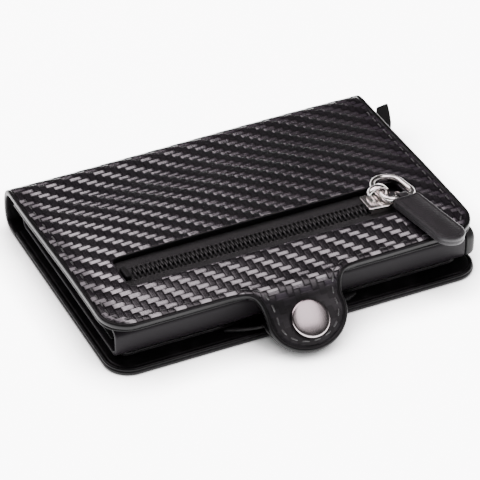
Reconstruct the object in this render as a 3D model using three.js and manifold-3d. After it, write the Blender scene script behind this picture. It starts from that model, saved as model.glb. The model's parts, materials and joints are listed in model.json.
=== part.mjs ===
// A slim pop-up card wallet: an aluminium card case with an eject lever, held in a
// folding leather cover that has a zipped coin pocket and a snap strap.
// Millimetres. +X runs along the wallet from the case's mouth to its lever, -Y is the
// strap side, +Y the spine, and z = 0 is the underside of the closed wallet.
import * as THREE from "three";
import { mergeVertices } from "three/addons/utils/BufferGeometryUtils.js";
import Module from "manifold-3d";

const wasm = await Module();
wasm.setup();

// ---- driving dimensions ----
const COVER = { length: 102, front: -34, back: 31.6, corner: 8 };
const FLAP_FRONT = -36.2;
const LEVELS = {
  flapOuter: [0, 1.0],
  flapLining: [1.1, 1.65],
  slotLower: [1.75, 2.15],
  slotUpper: [2.25, 2.65],
  case: [2.8, 11.0],
  pad: [11.1, 11.4],
  pocketBack: [11.5, 12.1],
  tape: [12.25, 12.6],
  panel: [12.2, 13.9],
};
const CARD_SLOTS = { half: 47, front: -30.5, lowerBack: 22, upperBack: 8, corner: 3 };
const POCKET = { depth: 0.5, rim: 4.5 };
const CASE = { x: [-48.45, 47.85], y: [-31.6, 28.4], wall: 1.1, side: 1.4, corner: 2.2, bulge: 0.35 };
const GRIP = { x: [1.5, 7.5], margin: 6, gap: 0.1, thickness: 0.4 };
const PAD = { endMargin: 6, sideMargin: 5, corner: 2 };
const CAP = { thickness: 1.9, gap: 0.3, plug: 2.1, overlap: 0.5 };
const EAR = { x: 41.8, y: [17.8, 25.8], gap: 0.1, thickness: 0.7 };
const CAP_RIM_Y = [-29.0, 18.5];
const LEVER = { pin: [44.8, 23.6], pinRadius: 1.0, boreRadius: 1.3, hub: 2.6, z: [5.0, 8.8] };
const ARM = { half: 1.2, tip: 5.6, length: 14, shorter: 5, slant: 3, reaches: [1.6, 3.2] };
const TAB = [
  [50.6, 22.2], [54.6, 21.3], [57.2, 25.6], [58.8, 29.4], [59.7, 31.9],
  [59.2, 32.2], [56.1, 31.5], [54.2, 28.6], [50.8, 26.8],
];
const SLOT = { y: [16.8, 27.5], z: [4.6, 9.2] };
const ZIP = { y: -14.5, window: [-39.5, -20.6, 39.5, -8.6], windowCorner: 1.2 };
const TAPE = { overlap: 1.5, split: 0.15 };
const COIL = { radius: 0.68, offset: 0.95, lift: 0.78, inset: 2.5 };
const STOP = { inset: 0.5, length: 1.6, half: 2.2, split: 0.3, lift: 0.1, height: 1.4 };
const SLIDER = { x: [27.8, 34.7], widths: [6.0, 7.0], taper: [2, 1.2], z: [12.8, 15.1] };
const TUNNEL = { half: 2.1, height: 1.7 };
const BRIDGE = { x: 32.3, y: 1.6, top: 18.1, half: 2.9, width: 1.7, eye: [1.15, 1.0], eyeLift: 0.1 };
const RING = { wire: 0.8, half: 4.2, bar: -4.9, top: 0.8, corner: 1.8, turn: 9, tilt: 5, z: 16.4 };
const PULL = { width: 8, thickness: 2.5, length: 23, neck: 4.4, start: 1.3, eye: 1.15, roll: 0.35 };
const STRAP = { x: -1.5, half: 10.4, root: 19.5, start: -34.3, straight: -39, end: -48.6 };
const STRAP_LAYER = { leather: 1.1, lining: 0.6, gap: 0.2, liningInset: 0.8 };
const STRAP_LINE = [
  [-34.3, 13.7], [-35.3, 13.45], [-36.2, 12.9], [-38.6, 10.35],
  [-39.9, 9.2], [-42.3, 7.3], [-45.6, 4.75], [-48.8, 2.6],
];
const SNAP = { y: -42.3, z: 7.3, slope: 38, capRadius: 5.0, capHeight: 1.6, post: 1.1, hole: 1.4 };
const TONGUE = { half: 9.9, root: 17.5, start: -33.4, straight: -37, end: 6.4, thickness: 0.85 };
const TONGUE_LINE = [
  [-33.6, 2.7], [-34.4, 2.85], [-36.1, 4.35], [-37.3, 4.95],
  [-38.5, 4.55], [-40.0, 3.4], [-43.4, 0.95],
];
const SPINE = { crease: 31.9, depth: 35.2, thickness: 1.2, corner: 4.2 };

const FINE = 12;
const ROUND = 28;
const RAD = Math.PI / 180;
const AXIS = {
  x: new THREE.Vector3(1, 0, 0),
  y: new THREE.Vector3(0, 1, 0),
  z: new THREE.Vector3(0, 0, 1),
};

// ---- materials ----
const plain = (color, roughness, metalness = 0) =>
  new THREE.MeshStandardMaterial({ color, roughness, metalness });
const MATERIALS = {
  carbon: plain(0x37343a, 0.42),
  leather: plain(0x2c2a2d, 0.55),
  lining: plain(0x1d1c1f, 0.85),
  aluminium: plain(0x36333a, 0.38, 0.8),
  plastic: plain(0x161618, 0.5),
  nickel: plain(0xcfc8c5, 0.2, 1.0),
  steel: plain(0x9a9a9e, 0.3, 1.0),
  tape: plain(0x17161a, 0.9),
  coil: plain(0x1c1b1e, 0.45),
  pad: plain(0x101010, 0.95),
};

// ---- helpers ----
const wallet = new THREE.Group();

function addPart(name, geometry, material, parent = wallet) {
  const mesh = new THREE.Mesh(geometry, material);
  mesh.name = name;
  parent.add(mesh);
  return mesh;
}

function toSolid(geometry) {
  const bare = geometry.clone();
  bare.deleteAttribute("normal");
  bare.deleteAttribute("uv");
  const merged = mergeVertices(bare, 1e-5);
  const vertProperties = new Float32Array(merged.attributes.position.array);
  const triVerts = new Uint32Array(merged.index.array);
  return new wasm.Manifold(new wasm.Mesh({ numProp: 3, vertProperties, triVerts }));
}

function toGeometry(solid) {
  const mesh = solid.getMesh();
  const geometry = new THREE.BufferGeometry();
  geometry.setAttribute("position", new THREE.BufferAttribute(mesh.vertProperties, 3));
  geometry.setIndex(new THREE.BufferAttribute(mesh.triVerts, 1));
  return geometry;
}

function combine(first, { add = [], cut = [], keep = [] }) {
  let solid = toSolid(first);
  for (const piece of add) solid = solid.add(toSolid(piece));
  for (const piece of keep) solid = solid.intersect(toSolid(piece));
  for (const piece of cut) solid = solid.subtract(toSolid(piece));
  return toGeometry(solid);
}

// A flat shape in XY, given a height range.
function slab(shape, [low, high], curveSegments = FINE) {
  const options = { depth: high - low, bevelEnabled: false, curveSegments };
  return new THREE.ExtrudeGeometry(shape, options).translate(0, 0, low);
}

// A shape drawn as (y, z), given a range along X.
function bar(shape, [start, end], curveSegments = FINE) {
  const options = { depth: end - start, bevelEnabled: false, curveSegments };
  const turn = new THREE.Matrix4().makeBasis(AXIS.y, AXIS.z, AXIS.x);
  return new THREE.ExtrudeGeometry(shape, options).applyMatrix4(turn).translate(start, 0, 0);
}

function box([x0, x1], [y0, y1], [z0, z1]) {
  const geometry = new THREE.BoxGeometry(x1 - x0, y1 - y0, z1 - z0);
  return geometry.translate((x0 + x1) / 2, (y0 + y1) / 2, (z0 + z1) / 2);
}

function rod([x, y], [z0, z1], radius, sides = ROUND) {
  const geometry = new THREE.CylinderGeometry(radius, radius, z1 - z0, sides);
  return geometry.rotateX(Math.PI / 2).translate(x, y, (z0 + z1) / 2);
}

function polygon(points) {
  return new THREE.Shape(points.map(([x, y]) => new THREE.Vector2(x, y)));
}

// A rectangle with its own corner radius on the -Y side and on the +Y side.
function roundedRect(x0, y0, x1, y1, front, back = front) {
  const shape = new THREE.Shape();
  shape.moveTo(x0 + front, y0);
  shape.lineTo(x1 - front, y0);
  shape.absarc(x1 - front, y0 + front, front, -Math.PI / 2, 0);
  shape.lineTo(x1, y1 - back);
  if (back > 0) shape.absarc(x1 - back, y1 - back, back, 0, Math.PI / 2);
  shape.lineTo(x0 + back, y1);
  if (back > 0) shape.absarc(x0 + back, y1 - back, back, Math.PI / 2, Math.PI);
  shape.lineTo(x0, y0 + front);
  shape.absarc(x0 + front, y0 + front, front, Math.PI, 1.5 * Math.PI);
  return shape;
}

// The cover's outline, inset by a margin. The spine side keeps small corners.
function coverOutline(margin, front = COVER.front) {
  const half = COVER.length / 2 - margin;
  const radius = Math.max(COVER.corner - margin, 1.5);
  return roundedRect(-half, front + margin, half, COVER.back - margin, radius, 1.2);
}

// ---- bottom flap: outer leather, lining and two card slots ----
function buildFlap() {
  addPart("flap_outer", slab(coverOutline(0, FLAP_FRONT), LEVELS.flapOuter), MATERIALS.carbon);
  addPart("flap_lining", slab(coverOutline(0.6, FLAP_FRONT), LEVELS.flapLining), MATERIALS.lining);
  const { half, front, lowerBack, upperBack, corner } = CARD_SLOTS;
  const lower = roundedRect(-half, front, half, lowerBack, corner);
  addPart("card_slot_lower", slab(lower, LEVELS.slotLower), MATERIALS.leather);
  const upper = roundedRect(-half, front, half, upperBack, corner);
  addPart("card_slot_upper", slab(upper, LEVELS.slotUpper), MATERIALS.leather);
}

// ---- aluminium case ----
// The case's end view as (y, z), with gently bowed side walls.
function caseSection(inset, bow, corner) {
  const y0 = CASE.y[0] + inset[0];
  const y1 = CASE.y[1] - inset[0];
  const z0 = LEVELS.case[0] + inset[1];
  const z1 = LEVELS.case[1] - inset[1];
  const mid = (z0 + z1) / 2;
  const shape = new THREE.Shape();
  shape.moveTo(y0 + corner, z0);
  shape.lineTo(y1 - corner, z0);
  shape.absarc(y1 - corner, z0 + corner, corner, -Math.PI / 2, 0);
  shape.quadraticCurveTo(y1 + bow, mid, y1, z1 - corner);
  shape.absarc(y1 - corner, z1 - corner, corner, 0, Math.PI / 2);
  shape.lineTo(y0 + corner, z1);
  shape.absarc(y0 + corner, z1 - corner, corner, Math.PI / 2, Math.PI);
  shape.quadraticCurveTo(y0 - bow, mid, y0, z0 + corner);
  shape.absarc(y0 + corner, z0 + corner, corner, Math.PI, 1.5 * Math.PI);
  return shape;
}

function buildCase() {
  const section = caseSection([0, 0], CASE.bulge, CASE.corner);
  section.holes.push(caseSection([CASE.side, CASE.wall], CASE.bulge, CASE.corner - CASE.wall));
  addPart("card_case", bar(section, CASE.x, 6), MATERIALS.aluminium);

  const [floorZ, roofZ] = [LEVELS.case[0] + CASE.wall, LEVELS.case[1] - CASE.wall];
  const gripX = GRIP.x.map((inset) => CASE.x[0] + inset);
  const gripY = [CASE.y[0] + GRIP.margin, CASE.y[1] - GRIP.margin];
  const lowerZ = [floorZ + GRIP.gap, floorZ + GRIP.gap + GRIP.thickness];
  const upperZ = [roofZ - GRIP.gap - GRIP.thickness, roofZ - GRIP.gap];
  addPart("card_grip_lower", box(gripX, gripY, lowerZ), MATERIALS.pad);
  addPart("card_grip_upper", box(gripX, gripY, upperZ), MATERIALS.pad);
  const padX = [CASE.x[0] + PAD.endMargin, CASE.x[1] - PAD.endMargin];
  const padY = [CASE.y[0] + PAD.sideMargin, CASE.y[1] - PAD.sideMargin];
  const padPlate = roundedRect(padX[0], padY[0], padX[1], padY[1], PAD.corner);
  addPart("adhesive_pad", slab(padPlate, LEVELS.pad, 4), MATERIALS.pad);
}

// ---- end cap: outer plate, locating rims and the two ears that hold the lever's pin ----
function buildEndCap() {
  const plateX = [CASE.x[1] + CAP.gap, CASE.x[1] + CAP.gap + CAP.thickness];
  const [floorZ, roofZ] = [LEVELS.case[0] + CASE.wall, LEVELS.case[1] - CASE.wall];
  const near = EAR.gap;
  const far = EAR.gap + EAR.thickness;
  const levels = [[floorZ + near, floorZ + far], [roofZ - far, roofZ - near]];
  const add = [];
  for (const z of levels) {
    add.push(box([EAR.x, plateX[0] + CAP.overlap], EAR.y, z));
    add.push(box([plateX[0] - CAP.plug, plateX[0] + CAP.overlap], CAP_RIM_Y, z));
  }
  const plate = bar(caseSection([0, 0], CASE.bulge, CASE.corner), plateX, 6);
  const cut = [
    box([plateX[0] - 1, plateX[1] + 1], SLOT.y, SLOT.z),
    rod(LEVER.pin, [floorZ, roofZ], LEVER.boreRadius),
  ];
  addPart("end_cap", combine(plate, { add, cut }), MATERIALS.plastic);
  const pinZ = [floorZ + 2 * near, roofZ - 2 * near];
  addPart("lever_pin", rod(LEVER.pin, pinZ, LEVER.pinRadius), MATERIALS.steel);
}

// ---- eject lever: hub, stepped arm along the closed end and thumb tab outside ----
function buildLever() {
  const [px, py] = LEVER.pin;
  const [z0, z1] = LEVER.z;
  const step = (z1 - z0) / 3;
  const tip = CASE.y[0] + ARM.tip;
  const [left, right] = [px - ARM.half, px + ARM.half];
  const add = [slab(polygon([[left, tip], [right, tip], [right, py], [left, py]]), LEVER.z)];
  for (const [index, reach] of ARM.reaches.entries()) {
    const length = ARM.length - ARM.shorter * index;
    const nose = left - reach;
    const outline = [[nose, tip], [px, tip], [px, tip + length + ARM.slant], [nose, tip + length]];
    add.push(slab(polygon(outline), [z0 + step * (index + 1), z1]));
  }
  const tab = [[px, py - 2], ...TAB, [px, py + 2.4]];
  add.push(slab(polygon(tab), LEVER.z));
  const hub = rod(LEVER.pin, LEVER.z, LEVER.hub);
  const cut = [rod(LEVER.pin, [z0 - 1, z1 + 1], LEVER.boreRadius)];
  addPart("eject_lever", combine(hub, { add, cut }), MATERIALS.plastic);
}

// ---- zip pocket on the upper side ----
function buildPocket() {
  addPart("pocket_back", slab(coverOutline(0.4), LEVELS.pocketBack), MATERIALS.lining);

  const [low, high] = LEVELS.panel;
  const [x0, y0, x1, y1] = ZIP.window;
  const cavity = slab(coverOutline(POCKET.rim), [low - 1, low + POCKET.depth], 4);
  const window = slab(roundedRect(x0, y0, x1, y1, ZIP.windowCorner), [low, high + 1], 4);
  const panel = combine(slab(coverOutline(0), LEVELS.panel), { cut: [cavity, window] });
  addPart("pocket_panel", panel, MATERIALS.carbon);

  const tapeX = [x0 - TAPE.overlap, x1 + TAPE.overlap];
  const tapes = {
    front: [y0 - TAPE.overlap, ZIP.y - TAPE.split],
    back: [ZIP.y + TAPE.split, y1 + TAPE.overlap],
  };
  for (const [name, side] of [["front", -1], ["back", 1]]) {
    addPart(`zip_tape_${name}`, box(tapeX, tapes[name], LEVELS.tape), MATERIALS.tape);
    const length = x1 - x0 - 2 * COIL.inset;
    const coil = new THREE.CylinderGeometry(COIL.radius, COIL.radius, length, 10).rotateZ(Math.PI / 2);
    coil.translate(0, ZIP.y + side * COIL.offset, LEVELS.tape[1] + COIL.lift);
    addPart(`zip_coil_${name}`, coil, MATERIALS.coil);
  }
  const stopZ = [LEVELS.tape[1] + STOP.lift, LEVELS.tape[1] + STOP.lift + STOP.height];
  const bottomX = [x0 + STOP.inset, x0 + STOP.inset + STOP.length];
  const bottomY = [ZIP.y - STOP.half, ZIP.y + STOP.half];
  addPart("zip_bottom_stop", box(bottomX, bottomY, stopZ), MATERIALS.plastic);
  const topX = [x1 - STOP.inset - STOP.length, x1 - STOP.inset];
  const frontY = [ZIP.y - STOP.half, ZIP.y - STOP.split];
  const backY = [ZIP.y + STOP.split, ZIP.y + STOP.half];
  addPart("zip_top_stop_front", box(topX, frontY, stopZ), MATERIALS.nickel);
  addPart("zip_top_stop_back", box(topX, backY, stopZ), MATERIALS.nickel);
}

// ---- slider with its bridge, the D ring through it and the leather pull ----
function buildSlider() {
  const [x0, x1] = SLIDER.x;
  const [narrow, wide] = SLIDER.widths.map((width) => width / 2);
  const [along, across] = SLIDER.taper;
  const [z0, z1] = SLIDER.z;
  const body = polygon([
    [x0, ZIP.y - narrow], [x1 - along, ZIP.y - wide], [x1, ZIP.y - wide + across],
    [x1, ZIP.y + wide - across], [x1 - along, ZIP.y + wide], [x0, ZIP.y + narrow],
  ]);
  const tunnelY = [ZIP.y - TUNNEL.half, ZIP.y + TUNNEL.half];
  const tunnel = box([x0 - 1, x1 + 1], tunnelY, [z0 - 1, LEVELS.tape[1] + TUNNEL.height]);
  const arch = new THREE.Shape();
  arch.absellipse(0, 0, BRIDGE.half, BRIDGE.top - z1, 0, Math.PI, false);
  const eye = new THREE.Path();
  eye.absellipse(0, RING.z - z1 + BRIDGE.eyeLift, BRIDGE.eye[0], BRIDGE.eye[1], 0, 2 * Math.PI, true);
  arch.holes.push(eye);
  const options = { depth: BRIDGE.width, bevelEnabled: false, curveSegments: FINE };
  const bridge = new THREE.ExtrudeGeometry(arch, options).translate(0, 0, -BRIDGE.width / 2);
  bridge.rotateX(Math.PI / 2).translate(BRIDGE.x, ringHinge().y, z1 - 0.05);
  addPart("zip_slider", combine(slab(body, SLIDER.z), { add: [bridge], cut: [tunnel] }), MATERIALS.nickel);
}

// Where the ring's wire passes through the slider's bridge.
function ringHinge() {
  return new THREE.Vector3(BRIDGE.x, ZIP.y + BRIDGE.y, RING.z);
}

// The D-shaped line of the ring's wire, with its straight bar on the -Y side.
function ringLine() {
  const { half, bar: low, top, corner } = RING;
  const path = new THREE.CurvePath();
  const point = (x, y) => new THREE.Vector3(x, y, 0);
  const line = (a, b) => path.add(new THREE.LineCurve3(a, b));
  const bend = (a, b, c) => path.add(new THREE.QuadraticBezierCurve3(a, b, c));
  line(point(-half + corner, low), point(half - corner, low));
  bend(point(half - corner, low), point(half, low), point(half, low + corner));
  line(point(half, low + corner), point(half, top));
  const kappa = 0.5523 * half;
  const crown = point(0, top + half);
  path.add(new THREE.CubicBezierCurve3(
    point(half, top), point(half, top + kappa), point(kappa, top + half), crown));
  path.add(new THREE.CubicBezierCurve3(
    crown, point(-kappa, top + half), point(-half, top + kappa), point(-half, top)));
  line(point(-half, top), point(-half, low + corner));
  bend(point(-half, low + corner), point(-half, low), point(-half + corner, low));
  return path;
}

// A closed round wire along a flat closed line, built ring by ring.
function wireLoop(path, radius, steps, sides) {
  const corners = [];
  for (let i = 0; i < steps; i += 1) {
    const centre = path.getPointAt(i / steps);
    const ahead = path.getPointAt(((i + 0.25) % steps) / steps);
    const behind = path.getPointAt((i - 0.25 + steps) % steps / steps);
    const tangent = ahead.sub(behind).normalize();
    const outward = new THREE.Vector3(tangent.y, -tangent.x, 0);
    for (let j = 0; j < sides; j += 1) {
      const angle = 2 * Math.PI * j / sides;
      const reach = radius * Math.cos(angle);
      corners.push(centre.x + outward.x * reach, centre.y + outward.y * reach, radius * Math.sin(angle));
    }
  }
  const index = [];
  for (let i = 0; i < steps; i += 1) {
    const next = (i + 1) % steps;
    for (let j = 0; j < sides; j += 1) {
      const k = (j + 1) % sides;
      const [a, b, c, d] = [i * sides + j, i * sides + k, next * sides + k, next * sides + j];
      index.push(a, c, b, a, d, c);
    }
  }
  const geometry = new THREE.BufferGeometry();
  geometry.setAttribute("position", new THREE.Float32BufferAttribute(corners, 3));
  geometry.setIndex(index);
  return geometry;
}

// The pull's side view as (y, z) around the ring's bar, and its plan as (x, y).
function pullGeometry() {
  const { width, thickness, length, neck, start, eye, roll } = PULL;
  const side = new THREE.Shape();
  side.moveTo(0, -thickness / 2);
  side.absarc(0, 0, thickness / 2 + roll, -Math.PI / 2, Math.PI / 2);
  side.lineTo(-start - 1, thickness / 2);
  side.lineTo(-length, thickness / 2);
  side.lineTo(-length, -thickness / 2);
  side.lineTo(-start - 1, -thickness / 2);
  const hole = new THREE.Path();
  hole.absarc(0, 0, eye, 0, 2 * Math.PI, true);
  side.holes.push(hole);
  const half = width / 2;
  const plan = new THREE.Shape();
  plan.moveTo(-neck / 2, thickness);
  plan.lineTo(-neck / 2, -start);
  plan.lineTo(-half, -start - 1);
  plan.lineTo(-half, -length + half);
  plan.absarc(0, -length + half, half, Math.PI, 2 * Math.PI);
  plan.lineTo(half, -start - 1);
  plan.lineTo(neck / 2, -start);
  plan.lineTo(neck / 2, thickness);
  return combine(bar(side, [-half - 1, half + 1]), { keep: [slab(plan, [-thickness, thickness])] });
}

function buildPull() {
  const carrier = new THREE.Group();
  carrier.position.copy(ringHinge());
  carrier.rotation.z = RING.turn * RAD;
  const tilted = new THREE.Group();
  tilted.rotation.y = RING.tilt * RAD;
  carrier.add(tilted);
  wallet.add(carrier);
  const ring = addPart("pull_ring", wireLoop(ringLine(), RING.wire, 56, 10), MATERIALS.nickel, tilted);
  ring.position.set(RING.half, 0, 0);
  const pull = addPart("pull_leather", pullGeometry(), MATERIALS.leather, tilted);
  pull.position.set(RING.half, RING.bar, 0);
}

// ---- spine ----
// The C-shaped section is drawn as an outer and an inner line, each with two round bends.
function buildSpine() {
  const { crease, depth, thickness, corner } = SPINE;
  const top = LEVELS.panel[1];
  const shape = new THREE.Shape();
  shape.moveTo(crease, 0);
  shape.quadraticCurveTo(depth, 0, depth, corner);
  shape.lineTo(depth, top - corner);
  shape.quadraticCurveTo(depth, top, crease, top);
  shape.lineTo(crease, top - thickness);
  shape.quadraticCurveTo(depth - thickness, top - thickness, depth - thickness, top - corner);
  shape.lineTo(depth - thickness, corner);
  shape.quadraticCurveTo(depth - thickness, thickness, crease, thickness);
  const half = COVER.length / 2;
  addPart("spine_leather", bar(shape, [-half, half], 8), MATERIALS.carbon);
}

// ---- snap strap, its snap, and the tongue that carries the stud ----
// A leather strip's side view: a line of (y, z) points given a thickness below it.
function strip(points, thickness) {
  const places = points.map(([y, z]) => new THREE.Vector3(y, z, 0));
  const curve = new THREE.CatmullRomCurve3(places, false, "centripetal");
  const count = 22;
  const upper = [];
  const lower = [];
  for (let i = 0; i <= count; i += 1) {
    const point = curve.getPoint(i / count);
    const tangent = curve.getTangent(i / count);
    upper.push([point.x, point.y]);
    lower.push([point.x - tangent.y * thickness, point.y + tangent.x * thickness]);
  }
  return polygon([...upper, ...lower.reverse()]);
}

function offsetLine(points, distance) {
  return points.map(([y, z], i) => {
    const [y0, z0] = points[Math.max(i - 1, 0)];
    const [y1, z1] = points[Math.min(i + 1, points.length - 1)];
    const length = Math.hypot(y1 - y0, z1 - z0);
    return [y - (z1 - z0) / length * distance, z + (y1 - y0) / length * distance];
  });
}

// Plan of a strap or tongue: flared root, straight sides and a rounded end.
function stripPlan(half, root, start, straight, roundFrom, end) {
  const { x } = STRAP;
  const shape = new THREE.Shape();
  shape.moveTo(x - root, start);
  shape.quadraticCurveTo(x - half - 1, start - 0.4, x - half, straight);
  shape.lineTo(x - half, roundFrom);
  shape.absellipse(x, roundFrom, half, roundFrom - end, Math.PI, 2 * Math.PI, false);
  shape.lineTo(x + half, straight);
  shape.quadraticCurveTo(x + half + 1, start - 0.4, x + root, start);
  return shape;
}

// A group whose +Z is the snap's axis and whose origin is on the strap's outer face.
function snapGroup() {
  const group = new THREE.Group();
  group.position.set(STRAP.x, SNAP.y, SNAP.z);
  group.rotation.x = SNAP.slope * RAD;
  wallet.add(group);
  return group;
}

function placedAtSnap(geometry) {
  return geometry.rotateX(SNAP.slope * RAD).translate(STRAP.x, SNAP.y, SNAP.z);
}

function lathe(points) {
  const profile = points.map(([r, z]) => new THREE.Vector2(r, z));
  return new THREE.LatheGeometry(profile, ROUND).rotateX(Math.PI / 2);
}

function buildStrap() {
  const { x, half, root, start, straight, end } = STRAP;
  const { leather, lining, gap, liningInset: inset } = STRAP_LAYER;
  const across = [x - root - 1, x + root + 1];
  const height = [-2, LEVELS.panel[1] + 2];
  const hole = placedAtSnap(rod([0, 0], [-8, 3], SNAP.hole, 20));
  const outerPlan = stripPlan(half, root, start, straight, SNAP.y + 1.5, end);
  const outerSide = bar(strip(STRAP_LINE, leather), across);
  const outer = combine(outerSide, { keep: [slab(outerPlan, height)], cut: [hole] });
  addPart("strap_leather", outer, MATERIALS.leather);
  const innerPlan = stripPlan(half - inset, root - inset, start - 0.3, straight, SNAP.y + 1.5, end + inset);
  const innerLine = offsetLine(STRAP_LINE, leather + gap).slice(2);
  const innerSide = bar(strip(innerLine, lining), across);
  const inner = combine(innerSide, { keep: [slab(innerPlan, height)], cut: [hole] });
  addPart("strap_lining", inner, MATERIALS.lining);
}

function buildSnap() {
  const group = snapGroup();
  const { capRadius, capHeight, post } = SNAP;
  const low = 0.3;
  const cap = lathe([[0, -1.9], [post, -1.9], [post, low], [capRadius - 0.5, low], [capRadius, low + 0.35],
    [capRadius - 0.2, low + 0.7], [capRadius * 0.72, capHeight - 0.3], [capRadius * 0.36, capHeight - 0.05],
    [0, capHeight]]);
  addPart("snap_cap", cap, MATERIALS.nickel, group);
  const socket = lathe([[0, -2.5], [1.9, -2.5], [1.9, -3.85], [3.6, -3.85], [4.3, -3.3],
    [4.3, -2.15], [0, -2.15]]);
  addPart("snap_socket", socket, MATERIALS.steel, group);
  const stud = lathe([[0, -5.5], [post, -5.5], [post, -4.35], [3.6, -4.35], [3.6, -4.05], [1.5, -4.05],
    [1.5, -3.2], [1.2, -2.9], [0, -2.9]]);
  addPart("snap_stud", stud, MATERIALS.steel, group);
  const rivet = lathe([[0, -6.3], [1.6, -6.3], [1.8, -6.1], [1.8, -5.8], [0, -5.8]]);
  addPart("stud_rivet", rivet, MATERIALS.steel, group);
}

function buildTongue() {
  const { half, root, start, straight, end, thickness } = TONGUE;
  const side = bar(strip(TONGUE_LINE, thickness), [STRAP.x - root - 1, STRAP.x + root + 1]);
  const plan = stripPlan(half, root, start, straight, straight, straight - end);
  const hole = placedAtSnap(rod([0, 0], [-8, -3], SNAP.hole, 20));
  const tongue = combine(side, { keep: [slab(plan, [-1, LEVELS.case[1]])], cut: [hole] });
  addPart("flap_tongue", tongue, MATERIALS.leather);
}

buildFlap();
buildCase();
buildEndCap();
buildLever();
buildPocket();
buildSlider();
buildPull();
buildSpine();
buildStrap();
buildSnap();
buildTongue();

export default wallet;
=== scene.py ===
"""Looks for the pop-up card wallet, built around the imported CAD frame.

Lengths are in millimetres in the tables and helpers below and become metres in make_mesh().
The cover's leather is drawn as a flat pattern (x, v), where v runs along the cover's cross
section, and is then laid over that section, so that the weave runs on round every bend.
"""
import json
import math

import bmesh
import bpy
import numpy as np
from mathutils import Matrix, Vector
from mathutils.geometry import delaunay_2d_cdt


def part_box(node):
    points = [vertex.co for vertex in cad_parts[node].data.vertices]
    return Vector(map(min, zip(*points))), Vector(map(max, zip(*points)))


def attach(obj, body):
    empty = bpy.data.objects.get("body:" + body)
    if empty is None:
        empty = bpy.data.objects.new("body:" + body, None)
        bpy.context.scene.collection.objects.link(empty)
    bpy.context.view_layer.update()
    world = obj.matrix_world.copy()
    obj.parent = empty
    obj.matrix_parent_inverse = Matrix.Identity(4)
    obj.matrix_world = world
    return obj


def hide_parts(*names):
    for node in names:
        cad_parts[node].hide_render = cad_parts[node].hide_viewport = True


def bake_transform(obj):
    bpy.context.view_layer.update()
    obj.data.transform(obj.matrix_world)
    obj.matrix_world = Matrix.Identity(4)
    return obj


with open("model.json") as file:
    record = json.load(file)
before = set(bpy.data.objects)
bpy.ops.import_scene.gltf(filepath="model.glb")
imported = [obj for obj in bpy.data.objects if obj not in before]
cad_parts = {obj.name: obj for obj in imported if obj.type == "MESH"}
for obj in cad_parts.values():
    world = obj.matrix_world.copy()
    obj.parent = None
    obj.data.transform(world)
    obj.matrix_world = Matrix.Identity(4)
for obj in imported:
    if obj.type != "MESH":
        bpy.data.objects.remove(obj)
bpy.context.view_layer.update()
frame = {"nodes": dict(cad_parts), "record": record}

MM = 0.001


def box_mm(node):
    """Lowest and highest corner of a CAD node, in millimetres."""
    low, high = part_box(node)
    return np.array(low) / MM, np.array(high) / MM


def joint(name):
    """A joint's point in millimetres, and its axis."""
    found = next(j for j in frame["record"]["behaviour"]["joints"] if j["name"] == name)
    return np.array(found["pos_m"]) / MM, np.array(found["axis"])


def assign(piece, slot, bodies, *nodes, **bend):
    """Hides the CAD nodes that a piece replaces and attaches the piece to one body; with a bend, it only
    bakes the piece's transform, and the bend's points are not used. The slot is not used.
    """
    if nodes:
        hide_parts(*nodes)
    if bend:
        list(bodies)
        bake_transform(piece)
    else:
        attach(piece, bodies)


# ---- sizes read from the frame ----
PANEL_LOW, PANEL_HIGH = box_mm("pocket_panel")
CASE_LOW, CASE_HIGH = box_mm("card_case")
HALF = PANEL_HIGH[0]
FRONT = PANEL_LOW[1]
TOP = PANEL_HIGH[2]
FLAP_FRONT = box_mm("flap_outer")[0][1]
SPINE_BACK = box_mm("spine_leather")[1][1]
CAP_END = box_mm("end_cap")[1][0]
STRAP_X = sum(corner[0] for corner in box_mm("strap_leather")) / 2

# ---- the leather: the spine's seam, the corners' radius, the thickness, and the twill's cell and tilt ----
SEAM = 28.0
CORNER = 8.0
LEATHER = 1.5
CELL = 1.66
WEFT_LEAN = 0.27


# ---- mesh helpers ----
def add_object(name, data):
    """A new object in the scene."""
    obj = bpy.data.objects.new(name, data)
    bpy.context.scene.collection.objects.link(obj)
    return obj


def make_mesh(name, verts, faces, material, weave=None, rim=None):
    """A smooth mesh object from points in millimetres; weave is a pattern coordinate per point."""
    mesh = bpy.data.meshes.new(name)
    mesh.from_pydata((np.asarray(verts, float) * MM).tolist(), [], [list(map(int, f)) for f in faces])
    mesh.validate()
    obj = add_object(name, mesh)
    if weave is not None:
        layer = mesh.uv_layers.new(name="weave")
        corner = np.empty(len(mesh.loops), int)
        mesh.loops.foreach_get("vertex_index", corner)
        layer.data.foreach_set("uv", weave[corner].astype(np.float32).ravel())
    if rim is not None:
        attribute = mesh.attributes.new("rim", "FLOAT", "POINT")
        attribute.data.foreach_set("value", np.asarray(rim, np.float32))
    mesh.polygons.foreach_set("use_smooth", [True] * len(mesh.polygons))
    mesh.materials.append(material)
    return obj


def edit(obj, change):
    """Runs change on a bmesh of the object and writes it back."""
    work = bmesh.new()
    work.from_mesh(obj.data)
    change(work)
    work.to_mesh(obj.data)
    work.free()
    return obj


def fix_normals(obj):
    """Turns every face outward."""
    return edit(obj, lambda work: bmesh.ops.recalc_face_normals(work, faces=work.faces))


def sharpen(obj, angle=0.7):
    """Keeps edges over this angle crisp."""
    def mark(work):
        for edge in work.edges:
            if len(edge.link_faces) == 2:
                edge.smooth = edge.calc_face_angle() < angle

    return edit(obj, mark)


def strip_faces(rows, columns, start=0, cyclic=False):
    """Quads between closed rings of points, and from the last ring to the first if cyclic."""
    faces = []
    for i in range(rows if cyclic else rows - 1):
        low, high = start + i * columns, start + (i + 1) % rows * columns
        for j in range(columns):
            k = (j + 1) % columns
            faces.append((low + j, low + k, high + k, high + j))
    return faces


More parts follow.
